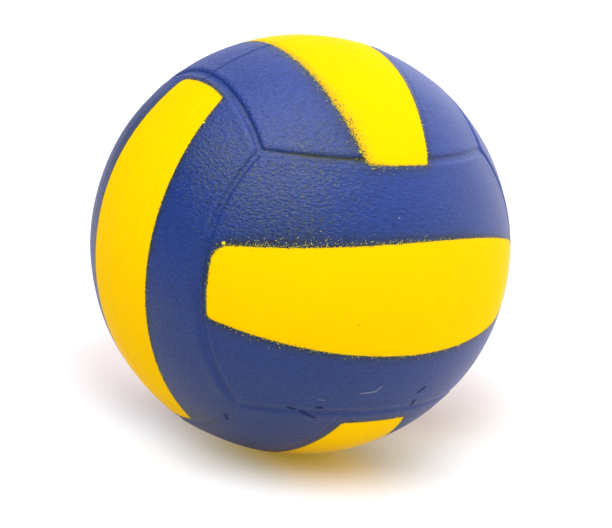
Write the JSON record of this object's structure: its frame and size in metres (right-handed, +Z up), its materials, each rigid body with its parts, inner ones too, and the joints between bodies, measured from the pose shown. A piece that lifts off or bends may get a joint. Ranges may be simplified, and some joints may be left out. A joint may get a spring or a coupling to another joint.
{
  "type": "volleyball",
  "caption": "Round inflated ball for volleyball: blue cover panels in crossed groups of strips, yellow middle strips, grooves between groups, and a rubber valve with a plug that pulls out.",
  "frame": {"origin": "centre of the ball", "axes": "+Z up, through the middle of the top group of panels; -Y the way the front group faces; +Y along the valve's axis, out of the ball"},
  "size_m": [0.21, 0.2097, 0.2095],
  "materials": {
    "blue_cover": "matte",
    "yellow_cover": "satin",
    "carcass_rubber": "matte",
    "winding_thread": "matte",
    "bladder_rubber": "satin",
    "valve_rubber": "matte"
  },
  "bodies": {
    "ball": {"front_lower_panel": "blue_cover", "front_middle_panel": "yellow_cover", "front_upper_panel": "blue_cover", "back_lower_panel": "blue_cover", "back_middle_panel": "yellow_cover", "back_upper_panel": "blue_cover", "left_front_panel": "blue_cover", "left_middle_panel": "yellow_cover", "left_rear_panel": "blue_cover", "right_front_panel": "blue_cover", "right_middle_panel": "yellow_cover", "right_rear_panel": "blue_cover", "top_left_panel": "blue_cover", "top_middle_panel": "yellow_cover", "top_right_panel": "blue_cover", "bottom_left_panel": "blue_cover", "bottom_middle_panel": "yellow_cover", "bottom_right_panel": "blue_cover", "rubber_carcass": "carcass_rubber", "thread_winding": "winding_thread", "bladder": "bladder_rubber", "valve_housing": "valve_rubber"},
    "plug": {"valve_plug": "valve_rubber"}
  },
  "joints": [
    {"name": "valve_plug_slide", "type": "slide", "parent": "ball", "child": "plug", "axis": [0, 1, 0], "range_m": [0, 0.021]}
  ]
}
